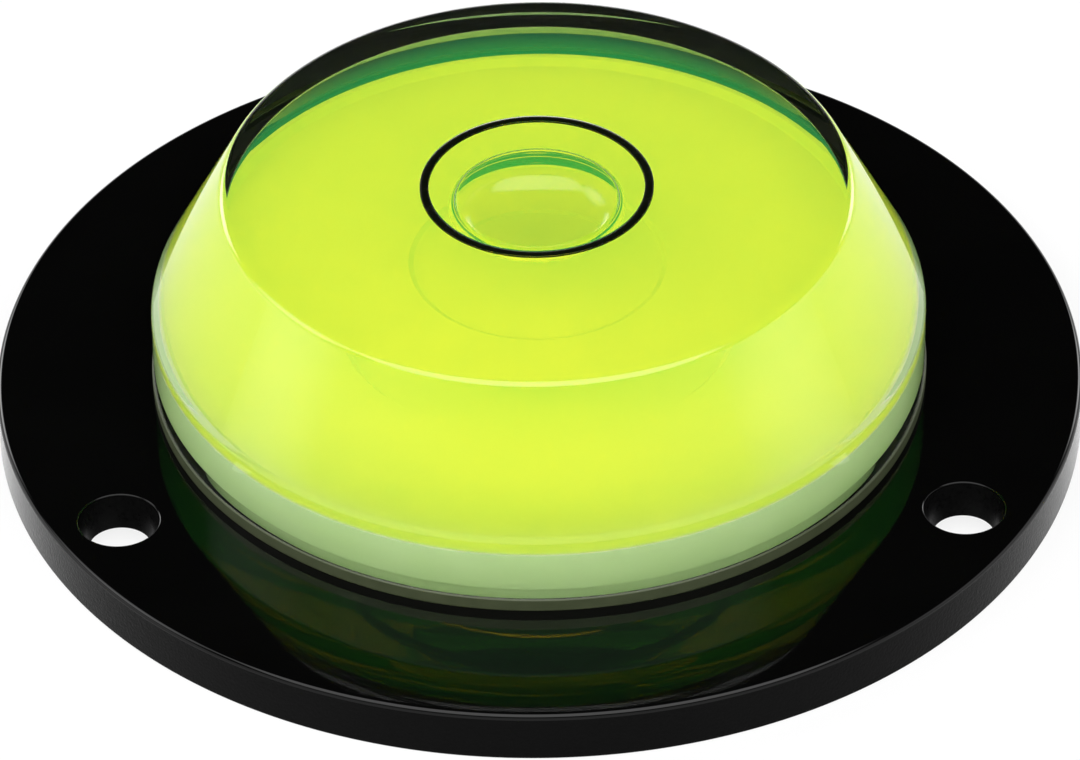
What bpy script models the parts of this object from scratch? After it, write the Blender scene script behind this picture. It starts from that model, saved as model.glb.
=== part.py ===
"""Mini bull's-eye spirit level: a sealed round vial set in a flat flange.

Metres, +Z up.  The origin is the middle of the flange's underside, and the vial's axis is Z.
Every piece is turned about that axis; the flange is then drilled for its three screws.
"""
import math

import bmesh
import bpy

# Flange: a moulded disc that stands on its rim and hub.  Its margin is what shows round the vial,
# and the hub reaches that much past the vial.
FLANGE_DIAMETER = 0.0400
FLANGE_THICKNESS = 0.0020
FLANGE_EDGE_BEVEL = 0.00025
FLANGE_MARGIN = 0.0058
RIM_WIDTH = 0.0010
HUB_MARGIN = 0.0017
WEB_THICKNESS = 0.0013

# Screw holes: they narrow towards the underside
SCREW_HOLE_COUNT = 3
SCREW_EDGE_DISTANCE = 0.0024
SCREW_HOLE_TOP_DIAMETER = 0.00294
SCREW_HOLE_LOWER_DIAMETER = 0.00228
FIRST_HOLE_ANGLE = math.radians(90)

# Vial: a clear cap with a cylindrical band, a straight sloping flank and a flat top.  Its hollow
# stands steeper than the flank, so the wall is thickest at the band.
FLANK_SETBACK = 0.0027
VIAL_HEIGHT = 0.0082
BAND_HEIGHT = 0.0031
BAND_WALL_THICKNESS = 0.00165
BORE_HEIGHT = 0.0022
ROOF_THICKNESS = 0.0011
ROOF_SETBACK = 0.0002
ROOF_SPHERE_RADIUS = 0.0600
TOP_EDGE_RADIUS = 0.0004
LIP_HEIGHT = 0.0004
LIP_STANDOUT = 0.00006

# Seat in the flange's top, which locates the vial
SEAT_DEPTH = 0.0008
SEAT_CLEARANCE = 0.0001

# Plug that closes the vial, dished inside its rim, and the pad that bonds it to the seat
PLUG_THICKNESS = 0.0015
PLUG_RIM_WIDTH = 0.0005
PLUG_DISH_DEPTH = 0.0003
PLUG_EDGE_BEVEL = 0.00015
MOULD_CIRCLE_DIAMETER = 0.0095
MOULD_CIRCLE_DEPTH = 0.00012
PAD_THICKNESS = 0.0004
PAD_SETBACK = 0.0009

# Target ring: paint in a groove that is cut in the vial's top
RING_DIAMETER = 0.0085
RING_LINE_WIDTH = 0.00032
RING_GROOVE_DEPTH = 0.00015
PAINT_CLEARANCE = 0.00001

# Bubble: the room that the fluid leaves under the middle of the roof
BUBBLE_DIAMETER = 0.0064
BUBBLE_DEPTH = 0.0021
BUBBLE_FULLNESS = 2.4

# Gap between pieces that rest on or in each other
FIT_GAP = 0.0003

TURNING_STEPS = 96
HOLE_STEPS = 32
ARC_STEPS = 5
ROOF_STEPS = 6
BUBBLE_STEPS = 9
MERGE_DISTANCE = 0.000001
CREASE_ANGLE = math.radians(25)

# Levels and radii that follow from the sizes above
FLANGE_RADIUS = FLANGE_DIAMETER / 2
BAND_RADIUS = FLANGE_RADIUS - FLANGE_MARGIN
TOP_RADIUS = BAND_RADIUS - FLANK_SETBACK
BORE_RADIUS = BAND_RADIUS - BAND_WALL_THICKNESS
ROOF_CORNER_RADIUS = TOP_RADIUS - ROOF_SETBACK
PLUG_RADIUS = BORE_RADIUS - FIT_GAP
DISH_RADIUS = PLUG_RADIUS - PLUG_RIM_WIDTH - PLUG_DISH_DEPTH
SEAT_RADIUS = BAND_RADIUS + SEAT_CLEARANCE
TOP_LEVEL = FLANGE_THICKNESS + VIAL_HEIGHT
BAND_LEVEL = FLANGE_THICKNESS + BAND_HEIGHT
BORE_LEVEL = FLANGE_THICKNESS + BORE_HEIGHT
SEAT_LEVEL = FLANGE_THICKNESS - SEAT_DEPTH
REST_LEVEL = SEAT_LEVEL + FIT_GAP
PLUG_LEVEL = REST_LEVEL + PAD_THICKNESS + FIT_GAP
PLUG_RIM_LEVEL = PLUG_LEVEL + PLUG_THICKNESS
DISH_LEVEL = PLUG_RIM_LEVEL - PLUG_DISH_DEPTH
ROOF_LEVEL = TOP_LEVEL - ROOF_THICKNESS
FLANK_ANGLE = math.atan2(BAND_RADIUS - TOP_RADIUS, TOP_LEVEL - BAND_LEVEL)


def finish(name, r, g, b, roughness, transmission=0.0, ior=1.5):
    """A Principled material, metallic 0: every piece is plastic, paint, fluid or adhesive."""
    material = bpy.data.materials.new(name)
    material.use_nodes = True
    shader = material.node_tree.nodes["Principled BSDF"]
    shader.inputs["Base Color"].default_value = (r, g, b, 1.0)
    shader.inputs["Roughness"].default_value = roughness
    shader.inputs["Metallic"].default_value = 0.0
    shader.inputs["Transmission Weight"].default_value = transmission
    shader.inputs["IOR"].default_value = ior
    material.diffuse_color = (r, g, b, 1.0)
    return material


def turned(name, profile, material):
    """A solid of revolution about Z from a closed outline of (radius, height) points."""
    bm = bmesh.new()
    corners = [bm.verts.new((radius, 0.0, height)) for radius, height in profile]
    edges = [bm.edges.new((corners[i - 1], corners[i])) for i in range(len(corners))]
    bmesh.ops.spin(
        bm, geom=corners + edges, cent=(0, 0, 0), axis=(0, 0, 1),
        angle=2 * math.pi, steps=TURNING_STEPS, use_merge=True,
    )
    bmesh.ops.remove_doubles(bm, verts=bm.verts, dist=MERGE_DISTANCE)
    bmesh.ops.recalc_face_normals(bm, faces=bm.faces)
    mesh = bpy.data.meshes.new(name)
    bm.to_mesh(mesh)
    bm.free()
    mesh.shade_smooth()
    mesh.set_sharp_from_angle(angle=CREASE_ANGLE)
    mesh.materials.append(material)
    solid = bpy.data.objects.new(name, mesh)
    bpy.context.collection.objects.link(solid)
    return solid


def arc(centre_radius, centre_height, radius, start, end, steps):
    """Points on an arc of an outline, from one angle to the other, both ends included."""
    angles = [start + (end - start) * i / steps for i in range(steps + 1)]
    return [(centre_radius + radius * math.cos(a), centre_height + radius * math.sin(a)) for a in angles]


def roof_height(radius, drop=0.0):
    """Height of the vial's domed roof at a radius, or of a dome that much lower."""
    sag = ROOF_SPHERE_RADIUS - math.sqrt(ROOF_SPHERE_RADIUS ** 2 - radius ** 2)
    return ROOF_LEVEL - drop - sag


def flank_radius(height, inset):
    """Radius of the sloping flank at a height, or of a parallel slope inset by a distance."""
    return TOP_RADIUS + (TOP_LEVEL - height) * math.tan(FLANK_ANGLE) - inset / math.cos(FLANK_ANGLE)


def cavity_outline():
    """The vial's hollow from the bore's top up to the roof's middle."""
    radii = [ROOF_CORNER_RADIUS * (1 - i / ROOF_STEPS) for i in range(ROOF_STEPS + 1)]
    return [(BORE_RADIUS, BORE_LEVEL)] + [(radius, roof_height(radius)) for radius in radii]


def target_groove(clearance):
    """The groove's section, inner side first, or the paint's section a clearance inside it."""
    outer = RING_DIAMETER / 2 - clearance
    inner = RING_DIAMETER / 2 - RING_LINE_WIDTH + clearance
    floor = TOP_LEVEL - RING_GROOVE_DEPTH + clearance
    return inner, outer, floor


def make_flange():
    """Black disc with a bevelled top edge, a seat for the vial and a relieved underside."""
    relief_outer = FLANGE_RADIUS - RIM_WIDTH
    relief_inner = BAND_RADIUS + HUB_MARGIN
    relief_level = FLANGE_THICKNESS - WEB_THICKNESS
    outline = [
        (0.0, SEAT_LEVEL),
        (SEAT_RADIUS, SEAT_LEVEL),
        (SEAT_RADIUS, FLANGE_THICKNESS),
        (FLANGE_RADIUS - FLANGE_EDGE_BEVEL, FLANGE_THICKNESS),
        (FLANGE_RADIUS, FLANGE_THICKNESS - FLANGE_EDGE_BEVEL),
        (FLANGE_RADIUS, 0.0),
        (relief_outer, 0.0),
        (relief_outer, relief_level),
        (relief_inner, relief_level),
        (relief_inner, 0.0),
        (0.0, 0.0),
    ]
    flange = turned("flange", outline, finish("gloss_black_plastic", 0.010, 0.010, 0.009, 0.08))
    for number in range(SCREW_HOLE_COUNT):
        drill(flange, number)
    return flange


def drill(flange, number):
    """Cut one tapered screw hole: a cone that runs past both faces of the flange's web."""
    overrun = FLANGE_THICKNESS - WEB_THICKNESS
    top_radius = SCREW_HOLE_TOP_DIAMETER / 2
    lower_radius = SCREW_HOLE_LOWER_DIAMETER / 2
    taper = (top_radius - lower_radius) / WEB_THICKNESS
    depth = WEB_THICKNESS + 2 * overrun
    angle = FIRST_HOLE_ANGLE + 2 * math.pi * number / SCREW_HOLE_COUNT
    circle_radius = FLANGE_RADIUS - SCREW_EDGE_DISTANCE
    bm = bmesh.new()
    bmesh.ops.create_cone(
        bm, cap_ends=True, segments=HOLE_STEPS, depth=depth,
        radius1=lower_radius - taper * overrun, radius2=top_radius + taper * overrun,
    )
    mesh = bpy.data.meshes.new(f"screw_hole_cutter_{number + 1}")
    bm.to_mesh(mesh)
    bm.free()
    cutter = bpy.data.objects.new(mesh.name, mesh)
    cutter.location = (
        circle_radius * math.cos(angle),
        circle_radius * math.sin(angle),
        FLANGE_THICKNESS - WEB_THICKNESS / 2,
    )
    cutter.hide_render = True
    cutter.display_type = "WIRE"
    bpy.context.collection.objects.link(cutter)
    cut = flange.modifiers.new(f"screw_hole_{number + 1}", "BOOLEAN")
    cut.operation = "DIFFERENCE"
    cut.solver = "EXACT"
    cut.object = cutter


def make_vial_cap():
    """Clear moulded cap: hollow under a domed roof, with a grooved top and a lip at its foot."""
    groove_inner, groove_outer, groove_floor = target_groove(0.0)
    lip_radius = BAND_RADIUS + LIP_STANDOUT
    lip_level = FLANGE_THICKNESS + LIP_HEIGHT
    # The round between top and flank touches both: its centre sits a radius inside each
    edge_height = TOP_LEVEL - TOP_EDGE_RADIUS
    edge_centre = flank_radius(edge_height, TOP_EDGE_RADIUS)
    top_edge = arc(edge_centre, edge_height, TOP_EDGE_RADIUS, math.pi / 2, FLANK_ANGLE, ARC_STEPS)
    outside = [
        (0.0, TOP_LEVEL),
        (groove_inner, TOP_LEVEL),
        (groove_inner, groove_floor),
        (groove_outer, groove_floor),
        (groove_outer, TOP_LEVEL),
    ] + top_edge + [
        (BAND_RADIUS, BAND_LEVEL),
        (BAND_RADIUS, lip_level + LIP_STANDOUT),
        (lip_radius, lip_level),
        (lip_radius, FLANGE_THICKNESS),
        (BAND_RADIUS, FLANGE_THICKNESS - LIP_STANDOUT),
        (BAND_RADIUS, REST_LEVEL),
        (BORE_RADIUS, REST_LEVEL),
    ]
    outline = outside + cavity_outline()
    return turned("vial_cap", outline, finish("clear_acrylic", 0.95, 1.0, 0.95, 0.02, 1.0, 1.49))


def make_base_plug():
    """White plug in the cap's bore: the dished reflector that the fluid is seen against."""
    circle = MOULD_CIRCLE_DIAMETER / 2
    recess_level = DISH_LEVEL - MOULD_CIRCLE_DEPTH
    outline = [
        (0.0, recess_level),
        (circle - MOULD_CIRCLE_DEPTH, recess_level),
        (circle, DISH_LEVEL),
        (DISH_RADIUS, DISH_LEVEL),
        (DISH_RADIUS + PLUG_DISH_DEPTH, PLUG_RIM_LEVEL),
        (PLUG_RADIUS - PLUG_EDGE_BEVEL, PLUG_RIM_LEVEL),
        (PLUG_RADIUS, PLUG_RIM_LEVEL - PLUG_EDGE_BEVEL),
        (PLUG_RADIUS, PLUG_LEVEL),
        (0.0, PLUG_LEVEL),
    ]
    return turned("base_plug", outline, finish("white_plastic", 0.86, 0.87, 0.84, 0.35))


def bubble_height(radius):
    """Height of the bubble's underside at a radius: round at its rim and flat in the middle."""
    share = radius / (BUBBLE_DIAMETER / 2)
    fullness = math.sqrt(1 - share ** BUBBLE_FULLNESS)
    return roof_height(radius, FIT_GAP) - (BUBBLE_DEPTH - FIT_GAP) * fullness


def make_indicator_fluid():
    """Yellow-green fluid that fills the cap above the plug, hollowed by the bubble."""
    side = BORE_RADIUS - FIT_GAP
    corner = ROOF_CORNER_RADIUS - FIT_GAP
    rim = BUBBLE_DIAMETER / 2
    roof = [corner + (rim - corner) * i / ROOF_STEPS for i in range(ROOF_STEPS + 1)]
    turns = [math.pi / 2 * i / BUBBLE_STEPS for i in range(1, BUBBLE_STEPS + 1)]
    outline = [
        (0.0, DISH_LEVEL + FIT_GAP),
        (DISH_RADIUS, DISH_LEVEL + FIT_GAP),
        (DISH_RADIUS + PLUG_DISH_DEPTH, PLUG_RIM_LEVEL + FIT_GAP),
        (side, PLUG_RIM_LEVEL + FIT_GAP),
        (side, BORE_LEVEL),
    ]
    outline += [(radius, roof_height(radius, FIT_GAP)) for radius in roof]
    outline += [(rim * math.cos(turn), bubble_height(rim * math.cos(turn))) for turn in turns]
    return turned("indicator_fluid", outline, finish("fluid", 0.72, 0.95, 0.05, 0.0, 1.0, 1.43))


def make_target_ring():
    """Black paint that fills the groove in the vial's top."""
    inner, outer, floor = target_groove(PAINT_CLEARANCE)
    outline = [(inner, floor), (inner, TOP_LEVEL), (outer, TOP_LEVEL), (outer, floor)]
    return turned("target_ring", outline, finish("black_paint", 0.006, 0.008, 0.004, 0.4))


def make_bond_pad():
    """Thin round adhesive pad that holds the plug, and with it the vial, down on the seat."""
    radius = BORE_RADIUS - PAD_SETBACK
    top = REST_LEVEL + PAD_THICKNESS
    outline = [(0.0, REST_LEVEL), (0.0, top), (radius, top), (radius, REST_LEVEL)]
    return turned("bond_pad", outline, finish("black_adhesive", 0.02, 0.02, 0.02, 0.7))


for leftover in list(bpy.data.objects):
    bpy.data.objects.remove(leftover, do_unlink=True)

make_flange()
make_bond_pad()
make_base_plug()
make_indicator_fluid()
make_vial_cap()
make_target_ring()
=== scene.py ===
import math

import bmesh
import bpy
from mathutils import Matrix, Vector


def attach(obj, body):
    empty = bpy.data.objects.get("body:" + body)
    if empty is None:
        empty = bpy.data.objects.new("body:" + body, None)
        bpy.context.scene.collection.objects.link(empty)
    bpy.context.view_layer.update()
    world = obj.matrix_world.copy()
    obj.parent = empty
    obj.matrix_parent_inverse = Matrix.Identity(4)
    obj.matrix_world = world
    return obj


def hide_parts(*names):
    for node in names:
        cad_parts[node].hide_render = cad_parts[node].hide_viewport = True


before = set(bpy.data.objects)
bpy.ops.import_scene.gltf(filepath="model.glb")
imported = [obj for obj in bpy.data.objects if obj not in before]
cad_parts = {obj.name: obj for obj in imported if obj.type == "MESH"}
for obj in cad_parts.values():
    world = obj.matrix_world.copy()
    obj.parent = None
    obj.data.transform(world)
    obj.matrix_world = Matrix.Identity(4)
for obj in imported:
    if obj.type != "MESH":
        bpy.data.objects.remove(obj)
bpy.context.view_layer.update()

# Camera: it stands in front of the level and looks down at its middle, as in the photograph.
# The lens is long, so the far rim looks hardly smaller than the near one, and it leans a little.
CAMERA_DISTANCE = 0.300
CAMERA_ELEVATION = 0.66747
CAMERA_LEAN = 0.01454
CAMERA_TARGET = Vector((0.000016, 0.0, 0.001196))
CAMERA_NEAR_CLIP = 0.01
LENS_MM = 270.6
SENSOR_MM = 36.0

toward_camera = Vector((0.0, -math.cos(CAMERA_ELEVATION), math.sin(CAMERA_ELEVATION)))
level_up = Vector((0.0, math.sin(CAMERA_ELEVATION), math.cos(CAMERA_ELEVATION)))
level_right = Vector((1.0, 0.0, 0.0))
camera_right = level_right * math.cos(CAMERA_LEAN) - level_up * math.sin(CAMERA_LEAN)
camera_up = level_right * math.sin(CAMERA_LEAN) + level_up * math.cos(CAMERA_LEAN)
camera_turn = Matrix((camera_right, camera_up, toward_camera)).transposed().to_4x4()
camera_data = bpy.data.cameras.new("camera")
camera_data.sensor_width = SENSOR_MM
camera_data.lens = LENS_MM
camera_data.clip_start = CAMERA_NEAR_CLIP
camera = bpy.data.objects.new("camera", camera_data)
camera.matrix_world = Matrix.Translation(CAMERA_TARGET + toward_camera * CAMERA_DISTANCE) @ camera_turn
bpy.context.collection.objects.link(camera)
bpy.context.scene.camera = camera
bpy.context.scene.view_settings.view_transform = "Standard"

# Flange: a disc of black plastic, moulded in one with its three tapered screw holes, the seat for the
# vial and a relieved underside.  Its top is polished like a mirror, its side wall is left satin.
FLANGE_RADIUS = 0.0200
FLANGE_TOP = 0.0020
FLANGE_EDGE_ROUND = 0.00022
FLANGE_FOOT_ROUND = 0.00010
RELIEF_RADII = (0.0159, 0.0190)
RELIEF_TOP = 0.0007
RELIEF_ROUND = 0.00010
RELIEF_LIP_ROUND = 0.00005
SEAT_RADIUS = 0.01427
SEAT_FLOOR = 0.0012
SEAT_ROUND = 0.00005
HOLE_COUNT = 3
HOLE_CIRCLE_RADIUS = 0.0176
FIRST_HOLE_ANGLE = math.radians(90)
HOLE_TOP_RADIUS = 0.00147
HOLE_LOWER_RADIUS = 0.00114
HOLE_MOUTH_ROUND = 0.00010
HOLE_CUT_FOOT = 0.0002
HOLE_CUT_ABOVE = 0.001
FLANGE_STEPS = 288
HOLE_STEPS = 72
HOLDING_DISTANCE = 0.00002
ARC_STEP = math.radians(9)
SHARP_ANGLE = math.radians(32)
MERGE_DISTANCE = 0.000001


def rounded(corners):
    """An outline with arcs: each corner is (radius, height, round), in metres from the axis."""
    outline = []
    last = len(corners) - 1
    for i, (r, z, size) in enumerate(corners):
        here = Vector((r, z))
        if i in (0, last) or size == 0.0:
            outline.append((r, z))
            continue
        before = (Vector(corners[i - 1][:2]) - here).normalized()
        after = (Vector(corners[i + 1][:2]) - here).normalized()
        turn = math.pi - before.angle(after)
        reach = size * math.tan(turn / 2)
        middle = here + (before + after).normalized() * (size / math.cos(turn / 2))
        start = here + before * reach - middle
        sweep = math.copysign(turn, before.x * after.y - before.y * after.x) * -1.0
        steps = max(2, math.ceil(turn / ARC_STEP))
        outline.append(tuple(here + before * (reach + HOLDING_DISTANCE)))
        for k in range(steps + 1):
            a = sweep * k / steps
            spoke = Vector((start.x * math.cos(a) - start.y * math.sin(a),
                            start.x * math.sin(a) + start.y * math.cos(a)))
            outline.append(tuple(middle + spoke))
        outline.append(tuple(here + after * (reach + HOLDING_DISTANCE)))
    return outline


def add_node(tree, kind, links=None, **settings):
    """A node with its settings, and its sockets linked to other sockets or set to plain values."""
    node = tree.nodes.new(kind)
    for key, value in settings.items():
        setattr(node, key, value)
    for key, value in (links or {}).items():
        socket = node.inputs[key] if isinstance(key, int) else next(
            s for s in node.inputs if s.name == key and s.enabled)
        if isinstance(value, bpy.types.NodeSocket):
            tree.links.new(value, socket)
        else:
            socket.default_value = value
    return node


def math_node(tree, operation, first, second=0.0):
    """The result socket of one sum on two sockets or numbers."""
    return add_node(tree, "ShaderNodeMath", {0: first, 1: second}, operation=operation).outputs[0]


def turning_group():
    """A group that turns an outline of points (radius, 0, height) once round Z into a closed skin."""
    group = bpy.data.node_groups.new("turned outline", "GeometryNodeTree")
    group.interface.new_socket("Outline", in_out="INPUT", socket_type="NodeSocketGeometry")
    group.interface.new_socket("Steps", in_out="INPUT", socket_type="NodeSocketInt")
    group.interface.new_socket("Skin", in_out="OUTPUT", socket_type="NodeSocketGeometry")
    given = add_node(group, "NodeGroupInput")
    outline, steps = given.outputs["Outline"], given.outputs["Steps"]
    count = add_node(group, "GeometryNodeAttributeDomainSize", {"Geometry": outline}).outputs["Point Count"]
    rows = math_node(group, "SUBTRACT", count, 1.0)
    grid = add_node(group, "GeometryNodeMeshGrid", {
        "Size X": math.tau, "Size Y": rows,
        "Vertices X": math_node(group, "ADD", steps, 1.0), "Vertices Y": count})
    place = add_node(group, "ShaderNodeSeparateXYZ", {
        0: add_node(group, "GeometryNodeInputPosition").outputs[0]})
    row = math_node(group, "ADD", place.outputs["Y"], math_node(group, "DIVIDE", rows, 2.0))
    index = add_node(group, "FunctionNodeFloatToInt", {0: row}, rounding_mode="ROUND").outputs[0]
    sample = group.nodes.new("GeometryNodeSampleIndex")
    sample.data_type = "FLOAT_VECTOR"
    group.links.new(outline, sample.inputs["Geometry"])
    group.links.new(index, sample.inputs["Index"])
    group.links.new(add_node(group, "GeometryNodeInputPosition").outputs[0],
                    next(s for s in sample.inputs if s.name == "Value" and s.enabled))
    point = add_node(group, "ShaderNodeSeparateXYZ", {
        0: next(s for s in sample.outputs if s.enabled)})
    radius, height = point.outputs["X"], point.outputs["Z"]
    angle = place.outputs["X"]
    turned = add_node(group, "ShaderNodeCombineXYZ", {
        "X": math_node(group, "MULTIPLY", radius, math_node(group, "COSINE", angle)),
        "Y": math_node(group, "MULTIPLY", radius, math_node(group, "SINE", angle)),
        "Z": height})
    moved = add_node(group, "GeometryNodeSetPosition", {
        "Geometry": grid.outputs["Mesh"], "Position": turned.outputs[0]})
    merged = add_node(group, "GeometryNodeMergeByDistance", {
        "Geometry": moved.outputs[0], "Distance": MERGE_DISTANCE})
    result = add_node(group, "NodeGroupOutput")
    group.links.new(merged.outputs[0], result.inputs["Skin"])
    return group


TURNING = turning_group()


def finishing_tree(name, sizes, build):
    """A modifier's tree: build makes the skin from the inputs, then it is realized and given a finish."""
    tree = bpy.data.node_groups.new(name, "GeometryNodeTree")
    tree.interface.new_socket("Outline", in_out="INPUT", socket_type="NodeSocketGeometry")
    for size, kind in sizes.items():
        tree.interface.new_socket(size, in_out="INPUT", socket_type=kind)
    tree.interface.new_socket("Finish", in_out="INPUT", socket_type="NodeSocketMaterial")
    tree.interface.new_socket("Skin", in_out="OUTPUT", socket_type="NodeSocketGeometry")
    given = add_node(tree, "NodeGroupInput").outputs
    skin = build(tree, given)
    smooth = add_node(tree, "GeometryNodeSetShadeSmooth", {"Geometry": skin})
    real = add_node(tree, "GeometryNodeRealizeInstances", {"Geometry": smooth.outputs[0]})
    dressed = add_node(tree, "GeometryNodeSetMaterial", {
        "Geometry": real.outputs[0], "Material": given["Finish"]})
    tree.links.new(dressed.outputs[0], add_node(tree, "NodeGroupOutput").inputs[0])
    return tree


def run_tree(name, tree, outline_mesh, values):
    """The tree's result on an outline, as a plain mesh object with its faces turned outwards."""
    source = bpy.data.objects.new(name + "_outline", outline_mesh)
    bpy.context.collection.objects.link(source)
    modifier = source.modifiers.new("turning", "NODES")
    modifier.node_group = tree
    for item in tree.interface.items_tree:
        if item.in_out == "INPUT" and item.name in values:
            modifier[item.identifier] = values[item.name]
    bpy.context.view_layer.update()
    evaluated = source.evaluated_get(bpy.context.evaluated_depsgraph_get())
    mesh = bpy.data.meshes.new_from_object(evaluated)
    source.modifiers.remove(modifier)
    bpy.data.objects.remove(source)
    bm = bmesh.new()
    bm.from_mesh(mesh)
    bmesh.ops.recalc_face_normals(bm, faces=bm.faces)
    bm.to_mesh(mesh)
    bm.free()
    mesh.name = name
    mesh.materials.clear()
    mesh.materials.append(values["Finish"])
    mesh.polygons.foreach_set("material_index", [0] * len(mesh.polygons))
    mesh.set_sharp_from_angle(angle=SHARP_ANGLE)
    piece = bpy.data.objects.new(name, mesh)
    bpy.context.collection.objects.link(piece)
    return piece


def outline_mesh(name, outline, marks=None):
    """Loose points of an outline in their order, with a mark on those that cut holes."""
    mesh = bpy.data.meshes.new(name)
    mesh.from_pydata([(r, 0.0, z) for r, z in outline], [], [])
    attribute = mesh.attributes.new("cuts", "BOOLEAN", "POINT")
    attribute.data.foreach_set("value", marks or [False] * len(outline))
    return mesh


def drilled(tree, given):
    """The flange's skin less its holes: the marked points turn into a cutter, set round a circle."""
    mark = add_node(tree, "GeometryNodeInputNamedAttribute", {"Name": "cuts"}, data_type="BOOLEAN")
    parts = add_node(tree, "GeometryNodeSeparateGeometry", {
        "Geometry": given["Outline"], "Selection": mark.outputs[0]})
    disc = add_node(tree, "GeometryNodeGroup", {}, node_tree=TURNING)
    tree.links.new(parts.outputs["Inverted"], disc.inputs["Outline"])
    tree.links.new(given["Steps"], disc.inputs["Steps"])
    cutter = add_node(tree, "GeometryNodeGroup", {}, node_tree=TURNING)
    tree.links.new(parts.outputs["Selection"], cutter.inputs["Outline"])
    tree.links.new(given["Hole Steps"], cutter.inputs["Steps"])
    circle = add_node(tree, "GeometryNodeMeshCircle", {
        "Vertices": given["Hole Count"], "Radius": given["Hole Circle Radius"]})
    turn = add_node(tree, "ShaderNodeCombineXYZ", {"Z": given["First Hole Angle"]})
    stations = add_node(tree, "GeometryNodeTransform", {
        "Geometry": circle.outputs[0], "Rotation": turn.outputs[0]})
    cutters = add_node(tree, "GeometryNodeInstanceOnPoints", {
        "Points": stations.outputs[0], "Instance": cutter.outputs[0]})
    cut = add_node(tree, "GeometryNodeMeshBoolean", {}, operation="DIFFERENCE", solver="EXACT")
    tree.links.new(disc.outputs[0], cut.inputs["Mesh 1"])
    tree.links.new(cutters.outputs[0], cut.inputs["Mesh 2"])
    return cut.outputs["Mesh"]


def plain_material(name, colour, roughness, **sockets):
    """A Principled material with its plain sockets set, and its node tree and shader to add to."""
    material = bpy.data.materials.new(name)
    material.use_nodes = True
    shader = material.node_tree.nodes["Principled BSDF"]
    shader.inputs["Base Color"].default_value = (*colour, 1.0)
    shader.inputs["Roughness"].default_value = roughness
    for key, value in sockets.items():
        shader.inputs[key.replace("_", " ")].default_value = value
    return material, material.node_tree, shader


def noise(tree, scale, detail=2.0):
    """A noise pattern on Object coordinates, with scale in waves per metre."""
    place = add_node(tree, "ShaderNodeTexCoord").outputs["Object"]
    return add_node(tree, "ShaderNodeTexNoise", {
        "Vector": place, "Scale": scale, "Detail": detail}).outputs["Fac"]


NOISE_SPAN = (0.3, 0.7)


def blended(tree, pattern, first, second):
    """A colour that a 0 to 1 pattern mixes from two."""
    mix = add_node(tree, "ShaderNodeMix", {}, data_type="RGBA")
    tree.links.new(pattern, mix.inputs[0])
    mix.inputs[6].default_value = (*first, 1.0)
    mix.inputs[7].default_value = (*second, 1.0)
    return mix.outputs[2]


def vary(tree, shader, pattern, roughness, colours=None):
    """Lets a pattern carry the roughness from one value to another, and the colour too where given."""
    spread = add_node(tree, "ShaderNodeMapRange", {
        "Value": pattern, "From Min": NOISE_SPAN[0], "From Max": NOISE_SPAN[1],
        "To Min": roughness[0], "To Max": roughness[1]})
    tree.links.new(spread.outputs[0], shader.inputs["Roughness"])
    if colours:
        tree.links.new(blended(tree, pattern, *colours), shader.inputs["Base Color"])


def bump(tree, shader, height, strength, distance):
    """Relief from a pattern, on the shader's normal."""
    relief = add_node(tree, "ShaderNodeBump", {
        "Height": height, "Strength": strength, "Distance": distance})
    tree.links.new(relief.outputs[0], shader.inputs["Normal"])


# The mirror top, with a faint cloudiness of the polish.
polished, tree, shader = plain_material(
    "polished_black_plastic", (0.001, 0.001, 0.001), 0.02, IOR=1.25)
vary(tree, shader, noise(tree, 260.0), (0.012, 0.028), ((0.0008, 0.0008, 0.0008), (0.0015, 0.0015, 0.0014)))

# The rounded edge between top and side wall, a little duller from handling.
edge_polish, tree, shader = plain_material(
    "polished_black_edge", (0.001, 0.001, 0.001), 0.05, IOR=1.3)
vary(tree, shader, noise(tree, 900.0), (0.03, 0.08))

# The side wall and the underside, with a fine moulded grain that scatters light at a glancing angle.
satin, tree, shader = plain_material(
    "satin_black_plastic", (0.002, 0.002, 0.002), 0.38, IOR=1.08, Sheen_Weight=1.0, Sheen_Roughness=0.25)
grain = noise(tree, 9000.0, 3.0)
vary(tree, shader, grain, (0.30, 0.46), ((0.0015, 0.0015, 0.0015), (0.003, 0.003, 0.003)))
bump(tree, shader, grain, 0.5, 0.00002)

# The walls of the screw holes.
reamed, tree, shader = plain_material(
    "black_hole_wall", (0.002, 0.002, 0.002), 0.30, IOR=1.15)
vary(tree, shader, noise(tree, 6000.0, 3.0), (0.24, 0.38), ((0.0015, 0.0015, 0.0015), (0.003, 0.003, 0.003)))

flange_outline = rounded([
    (0.0, SEAT_FLOOR, 0.0),
    (SEAT_RADIUS, SEAT_FLOOR, SEAT_ROUND),
    (SEAT_RADIUS, FLANGE_TOP, 0.0),
    (FLANGE_RADIUS, FLANGE_TOP, FLANGE_EDGE_ROUND),
    (FLANGE_RADIUS, 0.0, FLANGE_FOOT_ROUND),
    (RELIEF_RADII[1], 0.0, RELIEF_LIP_ROUND),
    (RELIEF_RADII[1], RELIEF_TOP, RELIEF_ROUND),
    (RELIEF_RADII[0], RELIEF_TOP, RELIEF_ROUND),
    (RELIEF_RADII[0], 0.0, RELIEF_ROUND),
    (0.0, 0.0, 0.0),
])
hole_slope = (HOLE_TOP_RADIUS - HOLE_LOWER_RADIUS) / (FLANGE_TOP - RELIEF_TOP)
hole_outline = rounded([
    (0.0, HOLE_CUT_FOOT, 0.0),
    (HOLE_LOWER_RADIUS - hole_slope * (RELIEF_TOP - HOLE_CUT_FOOT), HOLE_CUT_FOOT, 0.0),
    (HOLE_TOP_RADIUS, FLANGE_TOP, HOLE_MOUTH_ROUND),
    (HOLE_TOP_RADIUS + HOLE_MOUTH_ROUND, FLANGE_TOP, 0.0),
])
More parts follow.
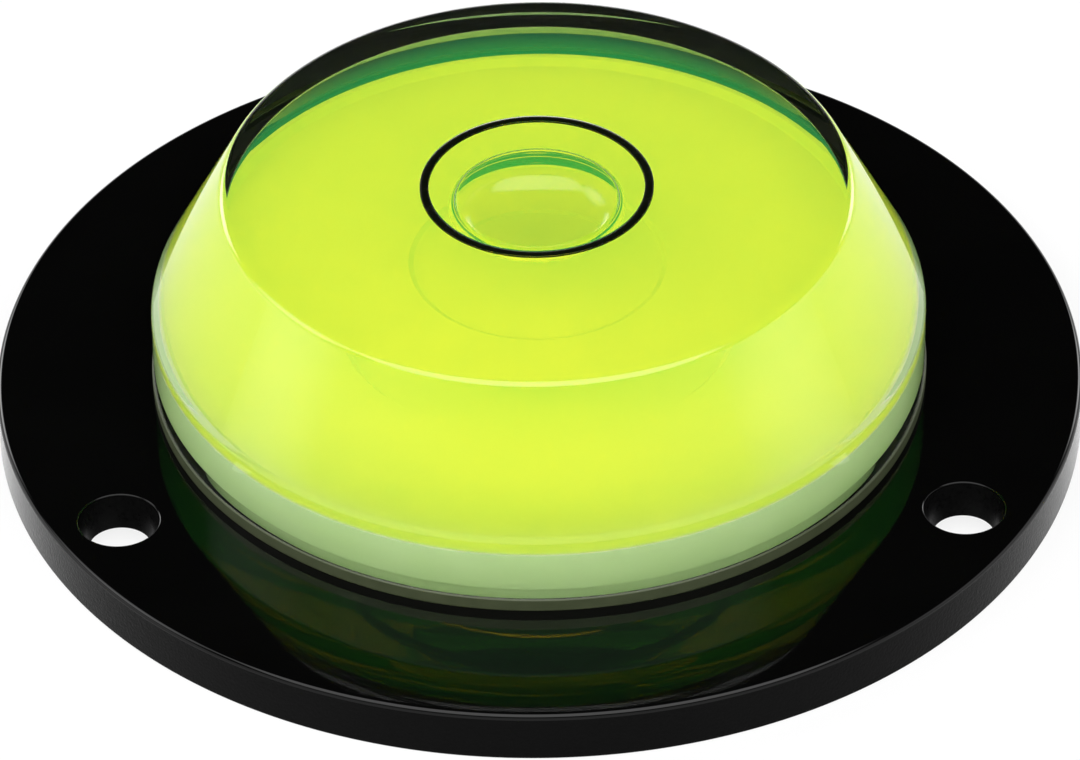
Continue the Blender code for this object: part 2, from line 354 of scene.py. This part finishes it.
hole_outline = hole_outline[:-3] + [
    (hole_outline[-3][0], FLANGE_TOP + HOLE_CUT_ABOVE), (0.0, FLANGE_TOP + HOLE_CUT_ABOVE)]
flange_tree = finishing_tree("drilled flange", {
    "Steps": "NodeSocketInt", "Hole Steps": "NodeSocketInt", "Hole Count": "NodeSocketInt",
    "Hole Circle Radius": "NodeSocketFloat", "First Hole Angle": "NodeSocketFloat"}, drilled)
flange = run_tree("flange_body", flange_tree, outline_mesh(
    "flange_outline", flange_outline + hole_outline,
    [False] * len(flange_outline) + [True] * len(hole_outline)), {
        "Steps": FLANGE_STEPS, "Hole Steps": HOLE_STEPS, "Hole Count": HOLE_COUNT,
        "Hole Circle Radius": HOLE_CIRCLE_RADIUS, "First Hole Angle": FIRST_HOLE_ANGLE, "Finish": polished})
FLAT_NORMAL = 0.9999
WALL_MARGIN = 0.00005
RELIEF_MARGIN = 0.00002
HOLE_BELT_MARGIN = 0.0002
TOP_MARGIN = 0.000001
for finish in (satin, edge_polish, reamed):
    flange.data.materials.append(finish)
for face in flange.data.polygons:
    r, z = face.center.xy.length, face.center.z
    side_wall = r > FLANGE_RADIUS - WALL_MARGIN and z < FLANGE_TOP - FLANGE_EDGE_ROUND
    underside = z < RELIEF_TOP - RELIEF_MARGIN
    hole_wall = (RELIEF_RADII[0] < r < RELIEF_RADII[1] + HOLE_BELT_MARGIN
                 and z < FLANGE_TOP - HOLE_MOUTH_ROUND)
    rounded_edge = r > FLANGE_RADIUS - FLANGE_EDGE_ROUND and z < FLANGE_TOP - TOP_MARGIN
    if abs(face.normal.z) > FLAT_NORMAL:
        face.use_smooth = False
    if side_wall or underside:
        face.material_index = 1
    elif hole_wall:
        face.material_index = 3
    elif rounded_edge:
        face.material_index = 2
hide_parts("flange")
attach(flange, "root")

# Bond pad: a thin black disc of adhesive between the seat and the plug, which holds the vial down.
# It is hidden, and the same adhesive blackens the foot of the vial.
PAD_RADIUS = 0.0118
PAD_LEVELS = (0.0012, 0.0016)
PAD_ROUND = 0.00005
PAD_STEPS = 96


def turned_only(tree, given):
    """The outline turned and nothing else."""
    body = add_node(tree, "GeometryNodeGroup", {}, node_tree=TURNING)
    tree.links.new(given["Outline"], body.inputs["Outline"])
    tree.links.new(given["Steps"], body.inputs["Steps"])
    return body.outputs[0]


TURNED_TREE = finishing_tree("turned piece", {"Steps": "NodeSocketInt"}, turned_only)


def turned_piece(name, outline, finish, steps):
    """A closed turned piece in one finish."""
    return run_tree(name, TURNED_TREE, outline_mesh(name + "_outline", outline), {
        "Steps": steps, "Finish": finish})


adhesive, tree, shader = plain_material("bonding_adhesive", (0.004, 0.004, 0.004), 0.7)
cells = noise(tree, 3000.0)
tree.links.new(blended(tree, cells, (0.003, 0.003, 0.003), (0.006, 0.006, 0.006)),
               shader.inputs["Base Color"])
bump(tree, shader, cells, 0.4, 0.00003)
pad = turned_piece("bond_disc", rounded([
    (0.0, PAD_LEVELS[0], 0.0), (PAD_RADIUS, PAD_LEVELS[0], PAD_ROUND),
    (PAD_RADIUS, PAD_LEVELS[1], PAD_ROUND), (0.0, PAD_LEVELS[1], 0.0)]), adhesive, PAD_STEPS)
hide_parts("bond_pad")
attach(pad, "root")

# Base plug: white plastic, pressed into the vial's bore.  It closes the vial and sends the light back
# up through the fluid.  Its top is dished, with a shallow moulded circle in the middle.  Its side is
# painted green and given a faint green glow: painted light for the fluid's light reaching it.
PLUG_RADIUS = 0.01250
PLUG_GRIP_RADIUS = 0.01257
PLUG_GRIP_FOOT = 0.00215
PLUG_FOOT = 0.0016
PLUG_FOOT_ROUND = 0.00005
PLUG_FLOOR = 0.0034
PLUG_RIM = 0.0037
PLUG_RIM_WIDTH = 0.0002
PLUG_RIM_ROUND = 0.00010
PLUG_DISH_RADIUS = 0.0120
PLUG_DISH_ROUND = 0.00020
PLUG_CIRCLE_RADIUS = 0.00475
PLUG_CIRCLE_DEPTH = 0.00018
PLUG_CIRCLE_ROUND = 0.00004
PLUG_STEPS = 256
GREEN_SIDE_MARGINS = (0.00002, 0.00001)

white, tree, shader = plain_material("reflector_plastic", (0.86, 0.87, 0.84), 0.35)
vary(tree, shader, noise(tree, 400.0), (0.30, 0.42), ((0.83, 0.84, 0.81), (0.89, 0.90, 0.87)))
# Painted light: the side's green colour and faint emission stand in for the fluid's green light on it.
green_lit_side, tree, shader = plain_material(
    "plastic_side_painted_green", (0.68, 0.91, 0.42), 0.35, Emission_Strength=0.07)
shader.inputs["Emission Color"].default_value = (0.45, 1.0, 0.20, 1.0)
vary(tree, shader, noise(tree, 400.0), (0.30, 0.42), ((0.65, 0.90, 0.38), (0.71, 0.92, 0.46)))
plug = turned_piece("reflector_plug", rounded([
    (0.0, PLUG_FLOOR - PLUG_CIRCLE_DEPTH, 0.0),
    (PLUG_CIRCLE_RADIUS - PLUG_CIRCLE_DEPTH, PLUG_FLOOR - PLUG_CIRCLE_DEPTH, PLUG_CIRCLE_ROUND),
    (PLUG_CIRCLE_RADIUS, PLUG_FLOOR, PLUG_CIRCLE_ROUND),
    (PLUG_DISH_RADIUS, PLUG_FLOOR, PLUG_DISH_ROUND),
    (PLUG_GRIP_RADIUS - PLUG_RIM_WIDTH, PLUG_RIM, PLUG_RIM_ROUND),
    (PLUG_GRIP_RADIUS, PLUG_RIM, 0.0),
    (PLUG_GRIP_RADIUS, PLUG_GRIP_FOOT, 0.0),
    (PLUG_RADIUS, PLUG_GRIP_FOOT, 0.0),
    (PLUG_RADIUS, PLUG_FOOT, PLUG_FOOT_ROUND),
    (0.0, PLUG_FOOT, 0.0),
]), white, PLUG_STEPS)
plug.data.materials.append(green_lit_side)
# The side below the rim takes the painted green light.
for face in plug.data.polygons:
    if (face.center.xy.length > PLUG_RADIUS - GREEN_SIDE_MARGINS[0]
            and face.center.z < PLUG_RIM - GREEN_SIDE_MARGINS[1]):
        face.material_index = 1
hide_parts("base_plug")
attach(plug, "root")

# Vial cap: clear acrylic, moulded and polished, with a cylindrical band, a sloping flank, a flat top
# with the ring's groove, and a domed roof inside.  Its skirt sits in the flange's seat and is black
# there and at its foot, and a low lip of dark sealant runs round it; the sealant's olive-green tint
# is painted light from the fluid.
BAND_RADIUS = 0.0142
TOP_RADIUS = 0.0115
VIAL_TOP = 0.0102
BAND_TOP = 0.0051
TOP_EDGE_ROUND = 0.0004
SHOULDER_ROUND = 0.0008
BORE_RADIUS = 0.01255
BORE_TOP = 0.0042
BORE_TOP_ROUND = 0.0006
ROOF_CORNER_RADIUS = 0.0113
ROOF_CORNER_ROUND = 0.0003
ROOF_MIDDLE = 0.0091
ROOF_SPHERE = 0.0600
ROOF_AIM = 0.0001
ROOF_ROWS = 40
SKIRT_FOOT = 0.0015
SKIRT_ROUND = 0.00005
LIP_TOP = 0.0025
LIP_OUT = 0.00006
LIP_ROUND = 0.00003
RING_RADII = (0.00393, 0.00425)
GROOVE_FLOOR = 0.01005
GROOVE_ROUND = 0.00001
VIAL_STEPS = 288
FLUID_FOOT = PLUG_RIM - 0.00002
BUBBLE_TOUCH_RADIUS = 0.0029
CLEAR_INDEX = 1.49
FLUID_INDEX = 1.43


def roof_height(radius, drop=0.0):
    """Height of the domed roof's underside, or of a dome a little lower."""
    return ROOF_MIDDLE - drop - ROOF_SPHERE + math.sqrt(ROOF_SPHERE ** 2 - radius ** 2)


def hollow_corners(gap):
    """The top of the bore and the corner of the roof as corners for rounded, shrunk by a gap."""
    corner = ROOF_CORNER_RADIUS - gap
    return [(BORE_RADIUS - gap, BORE_TOP, BORE_TOP_ROUND),
            (corner, roof_height(corner, gap), ROOF_CORNER_ROUND)]


def roof_rows(start, end, gap):
    """Points along the dome between two radii."""
    radii = [start + (end - start) * i / ROOF_ROWS for i in range(1, ROOF_ROWS + 1)]
    return [(r, roof_height(r, gap)) for r in radii]


# Where the wall meets air it bends light as acrylic does, and where it meets the fluid it bends light
# by the step between the two.
acrylic, tree, shader = plain_material(
    "moulded_acrylic", (1.0, 1.0, 1.0), 0.0, IOR=CLEAR_INDEX, Transmission_Weight=1.0)
vary(tree, shader, noise(tree, 150.0), (0.0, 0.01))
wetted, tree, shader = plain_material(
    "acrylic_against_fluid", (1.0, 1.0, 1.0), 0.0,
    IOR=CLEAR_INDEX / FLUID_INDEX, Transmission_Weight=1.0)
vary(tree, shader, noise(tree, 150.0), (0.0, 0.01))

# Dark sealant; its olive-green tint is painted light, standing in for the fluid's green light on it.
green_lit_sealant, tree, shader = plain_material("dark_sealant_green_lit", (0.06, 0.07, 0.04), 0.4, IOR=1.35)
vary(tree, shader, noise(tree, 1500.0), (0.34, 0.50), ((0.040, 0.050, 0.024), (0.065, 0.078, 0.040)))

hollow_outline = rounded([(BORE_RADIUS, SKIRT_FOOT, 0.0), (BORE_RADIUS, FLUID_FOOT, 0.0)]
                         + hollow_corners(0.0) + [(0.0, ROOF_MIDDLE + ROOF_AIM, 0.0)])[:-1]
roof_start = hollow_outline[-1][0]
cap_outline = rounded([
    (0.0, VIAL_TOP, 0.0),
    (RING_RADII[0], VIAL_TOP, GROOVE_ROUND),
    (RING_RADII[0], GROOVE_FLOOR, GROOVE_ROUND),
    (RING_RADII[1], GROOVE_FLOOR, GROOVE_ROUND),
    (RING_RADII[1], VIAL_TOP, GROOVE_ROUND),
    (TOP_RADIUS, VIAL_TOP, TOP_EDGE_ROUND),
    (BAND_RADIUS, BAND_TOP, SHOULDER_ROUND),
    (BAND_RADIUS, LIP_TOP, LIP_ROUND),
    (BAND_RADIUS + LIP_OUT, LIP_TOP - LIP_OUT, LIP_ROUND),
    (BAND_RADIUS + LIP_OUT, FLANGE_TOP, LIP_ROUND),
    (BAND_RADIUS, FLANGE_TOP - LIP_OUT, LIP_ROUND),
    (BAND_RADIUS, SKIRT_FOOT, SKIRT_ROUND),
    (BORE_RADIUS, SKIRT_FOOT, 0.0),
]) + hollow_outline[1:]
cap_outline += roof_rows(roof_start, BUBBLE_TOUCH_RADIUS, 0.0) + roof_rows(BUBBLE_TOUCH_RADIUS, 0.0, 0.0)
cap = turned_piece("clear_vial", cap_outline, acrylic, VIAL_STEPS)
ROOF_FACING = -0.5
GROOVE_MARGIN = 0.0002
GLUE_MARGIN = 0.0001
for finish in (wetted, green_lit_sealant, adhesive):
    cap.data.materials.append(finish)
for face in cap.data.polygons:
    r, z = face.center.xy.length, face.center.z
    inside = face.normal.xy.dot(face.center.xy) < 0.0 or face.normal.z < ROOF_FACING
    against_fluid = inside and FLUID_FOOT < z < GROOVE_FLOOR - GROOVE_MARGIN and r > BUBBLE_TOUCH_RADIUS
    # The lip takes the sealant with its painted green light.
    lip = r > BAND_RADIUS + LIP_OUT / 4 and z > FLANGE_TOP - LIP_OUT
    sunk_side = r > BAND_RADIUS - GLUE_MARGIN and z < FLANGE_TOP - LIP_OUT
    if against_fluid:
        face.material_index = 1
    elif lip:
        face.material_index = 2
    elif sunk_side or z < SKIRT_FOOT + GLUE_MARGIN:
        face.material_index = 3
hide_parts("vial_cap")
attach(cap, "root")

# Indicator fluid: a thin spirit with a fluorescent yellow-green dye, which fills the vial above the
# plug.  The dye swallows blue, and a fixed green emission in the fluid is painted light that stands in
# for the dye's fluorescence under the lamps.  The bubble is the room the fluid leaves under the
# middle of the roof, rounded below and at its rim.
FLUID_GAP = 0.00001
FLUID_OVERLAP = 0.00005
FLUID_GRIP_OVERLAPS = 3
BUBBLE_RADIUS = 0.00322
BUBBLE_MIDDLE_DROP = 0.0008
BUBBLE_DEPTH = 0.0021
BUBBLE_ROWS = 24
BUBBLE_FULLNESS = 3.0
FREE_SURFACE_MARGIN = 0.000002
DYE_PASSES = (0.995, 0.94, 0.0, 1.0)
DYE_DENSITY = 800.0
DYE_PAINTED_GLOW_COLOUR = (0.08, 1.0, 1.0, 1.0)
DYE_PAINTED_GLOW_STRENGTH = 54.0

dyed, tree, shader = plain_material(
    "dyed_fluid", (0.90, 1.0, 0.62), 0.0, Transmission_Weight=1.0)
tree.links.new(blended(tree, noise(tree, 120.0), (0.90, 1.0, 0.66), (0.94, 1.0, 0.74)),
               shader.inputs["Base Color"])
# The mark is 1 on the bubble's surface, where light bends as between fluid and air, and 0 where the
# cap's own wall has bent it already.
free = add_node(tree, "ShaderNodeAttribute", {}, attribute_name="free_surface").outputs["Fac"]
tree.links.new(math_node(tree, "ADD", math_node(tree, "MULTIPLY", free, FLUID_INDEX - 1.0), 1.0),
               shader.inputs["IOR"])
absorb = add_node(tree, "ShaderNodeVolumeAbsorption", {"Color": DYE_PASSES, "Density": DYE_DENSITY})
# Painted glow: a fixed emission standing in for the fluorescence that the lamps would excite.
glow = add_node(tree, "ShaderNodeEmission", {"Color": DYE_PAINTED_GLOW_COLOUR, "Strength": DYE_PAINTED_GLOW_STRENGTH})
both = add_node(tree, "ShaderNodeAddShader", {0: absorb.outputs[0], 1: glow.outputs[0]})
tree.links.new(both.outputs[0], tree.nodes["Material Output"].inputs["Volume"])

fluid_side = rounded([
    (0.0, PLUG_FLOOR - PLUG_CIRCLE_DEPTH - FLUID_OVERLAP, 0.0),
    (PLUG_DISH_RADIUS, PLUG_FLOOR - PLUG_CIRCLE_DEPTH - FLUID_OVERLAP, 0.0),
    (PLUG_GRIP_RADIUS - FLUID_GRIP_OVERLAPS * FLUID_OVERLAP, PLUG_RIM - FLUID_OVERLAP, 0.0),
    (BORE_RADIUS - FLUID_GAP, PLUG_RIM - FLUID_OVERLAP, 0.0)]
    + hollow_corners(FLUID_GAP) + [(0.0, ROOF_MIDDLE - FLUID_GAP + ROOF_AIM, 0.0)])[:-1]
touch_height = roof_height(BUBBLE_TOUCH_RADIUS, FLUID_GAP)
widest_height = ROOF_MIDDLE - BUBBLE_MIDDLE_DROP
bubble_side = []
for k in range(1, BUBBLE_ROWS + 1):
    a = math.pi / 2 * k / BUBBLE_ROWS
    bubble_side.append((BUBBLE_TOUCH_RADIUS + (BUBBLE_RADIUS - BUBBLE_TOUCH_RADIUS) * math.sin(a),
                        widest_height + (touch_height - widest_height) * math.cos(a)))
for k in range(1, BUBBLE_ROWS + 1):
    a = math.pi / 2 * k / BUBBLE_ROWS
    r = BUBBLE_RADIUS * math.cos(a) if k < BUBBLE_ROWS else 0.0
    drop = (BUBBLE_DEPTH - BUBBLE_MIDDLE_DROP) * max(0.0, 1 - (r / BUBBLE_RADIUS) ** BUBBLE_FULLNESS) ** 0.5
    bubble_side.append((r, widest_height - drop))
fluid = turned_piece("indicator_spirit", fluid_side + roof_rows(
    fluid_side[-1][0], BUBBLE_TOUCH_RADIUS, FLUID_GAP) + bubble_side, dyed, VIAL_STEPS)
free_faces = []
for face in fluid.data.polygons:
    r, z = face.center.xy.length, face.center.z
    free_faces.append(float(r < BUBBLE_RADIUS and z > widest_height - BUBBLE_DEPTH
                            and z < roof_height(r, FLUID_GAP) - FREE_SURFACE_MARGIN))
fluid.data.attributes.new("free_surface", "FLOAT", "FACE").data.foreach_set("value", free_faces)
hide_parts("indicator_fluid")
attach(fluid, "root")

# Target ring: black paint wiped into the groove in the vial's top.  It stands slightly rounded
# between the groove's edges, so it catches a thin line of light.
PAINT_OVERLAP = 0.00001
PAINT_CROWN = 0.00004
PAINT_ROWS = 12

paint, tree, shader = plain_material("groove_paint", (0.002, 0.003, 0.001), 0.22, IOR=1.25)
vary(tree, shader, noise(tree, 2500.0), (0.16, 0.30), ((0.0015, 0.0025, 0.0008), (0.003, 0.004, 0.0015)))
inner, outer = RING_RADII[0] - PAINT_OVERLAP, RING_RADII[1] + PAINT_OVERLAP
half = (outer - inner) / 2
ring_outline = [(inner, GROOVE_FLOOR - PAINT_OVERLAP)]
for k in range(PAINT_ROWS + 1):
    share = 2 * k / PAINT_ROWS - 1
    ring_outline.append((inner + half + half * share, VIAL_TOP - PAINT_CROWN * share ** 2))
ring_outline += [(outer, GROOVE_FLOOR - PAINT_OVERLAP), (inner, GROOVE_FLOOR - PAINT_OVERLAP)]
ring = turned_piece("target_line", ring_outline, paint, VIAL_STEPS)
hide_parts("target_ring")
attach(ring, "root")

# Studio: a pale floor that runs out to a white horizon, one wide soft light high in front, a small one
# on the left, a weak card on each side and two behind for the edges.  It is dark high up behind, which
# the polished flange shows as black.
FLOOR_RADIUS = 3.0
FLOOR_STEPS = 96
FLOOR_SELF_WHITE = 0.85
SKY_WHITE_UP_TO = 0.08
SKY_DARK_FROM = 0.34
SKY_DARK = 0.012
LAMPS_AIM = Vector((0, 0, 0.004))

floor_mesh = bpy.data.meshes.new("studio_floor")
bm = bmesh.new()
bmesh.ops.create_circle(bm, cap_ends=True, segments=FLOOR_STEPS, radius=FLOOR_RADIUS)
bm.to_mesh(floor_mesh)
bm.free()
floor = bpy.data.objects.new("studio_floor", floor_mesh)
bpy.context.collection.objects.link(floor)
pale = bpy.data.materials.new("pale_floor")
pale.use_nodes = True
tree = pale.node_tree
tree.nodes.clear()
path = add_node(tree, "ShaderNodeLightPath").outputs
seen = math_node(tree, "MAXIMUM", path["Is Camera Ray"],
                 math_node(tree, "MAXIMUM", path["Is Glossy Ray"], path["Is Transmission Ray"]))
share = math_node(tree, "MULTIPLY", seen, FLOOR_SELF_WHITE)
chalk = add_node(tree, "ShaderNodeBsdfDiffuse", {
    "Color": blended(tree, noise(tree, 40.0), (0.80, 0.80, 0.80), (0.82, 0.82, 0.82))})
glow = add_node(tree, "ShaderNodeEmission", {"Color": (1.0, 1.0, 1.0, 1.0), "Strength": 1.0})
mix = add_node(tree, "ShaderNodeMixShader", {0: share, 1: chalk.outputs[0], 2: glow.outputs[0]})
tree.links.new(mix.outputs[0], add_node(tree, "ShaderNodeOutputMaterial").inputs["Surface"])
floor_mesh.materials.append(pale)

world = bpy.data.worlds.new("studio")
bpy.context.scene.world = world
world.use_nodes = True
tree = world.node_tree
tree.nodes.clear()
direction = add_node(tree, "ShaderNodeSeparateXYZ", {
    0: add_node(tree, "ShaderNodeTexCoord").outputs["Generated"]}).outputs["Z"]
ramp = add_node(tree, "ShaderNodeValToRGB", {0: direction})
white_end, dark_end = ramp.color_ramp.elements
white_end.position = SKY_WHITE_UP_TO
white_end.color = (1.0, 1.0, 1.0, 1.0)
dark_end.position = SKY_DARK_FROM
dark_end.color = (SKY_DARK, SKY_DARK, SKY_DARK, 1.0)
background = add_node(tree, "ShaderNodeBackground", {"Color": ramp.outputs[0], "Strength": 1.0})
tree.links.new(background.outputs[0], add_node(tree, "ShaderNodeOutputWorld").inputs[0])


def soft_light(name, place, width, height, radiance, evenness=1.0):
    """An area lamp that faces the level, even in its middle and fading towards its edges."""
    lamp = bpy.data.lights.new(name, "AREA")
    lamp.shape = "RECTANGLE"
    lamp.size = width
    lamp.size_y = height
    lamp.energy = radiance * math.pi * width * height
    lamp.use_nodes = True
    tree = lamp.node_tree
    tree.nodes.clear()
    across = add_node(tree, "ShaderNodeSeparateXYZ", {
        0: add_node(tree, "ShaderNodeNewGeometry").outputs["Parametric"]}).outputs
    shares = [math_node(tree, "MULTIPLY", math_node(tree, "MULTIPLY", across[k], 4.0),
                        math_node(tree, "SUBTRACT", 1.0, across[k])) for k in ("X", "Y")]
    fade = math_node(tree, "MINIMUM", math_node(tree, "MULTIPLY", math_node(
        tree, "MULTIPLY", shares[0], shares[1]), evenness), 1.0)
    face = add_node(tree, "ShaderNodeEmission", {"Color": (1.0, 1.0, 1.0, 1.0), "Strength": fade})
    tree.links.new(face.outputs[0], add_node(tree, "ShaderNodeOutputLight").inputs[0])
    light = bpy.data.objects.new(name, lamp)
    light.location = place
    light.rotation_euler = (Vector(place) - LAMPS_AIM).to_track_quat("Z", "Y").to_euler()
    bpy.context.collection.objects.link(light)


soft_light("front_softbox", (0.0, -0.38, 0.56), 1.60, 0.70, 3.95, 2.5)
soft_light("left_softbox", (-0.38, 0.02, 0.26), 0.36, 0.30, 4.5)
soft_light("left_card", (-0.44, 0.05, 0.06), 0.56, 0.12, 1.3)
soft_light("right_card", (0.44, 0.00, 0.10), 0.56, 0.20, 1.2)
soft_light("left_back_strip", (-0.28, 0.34, 0.17), 0.25, 0.20, 9.0)
soft_light("right_back_strip", (0.28, 0.34, 0.17), 0.20, 0.20, 8.0)
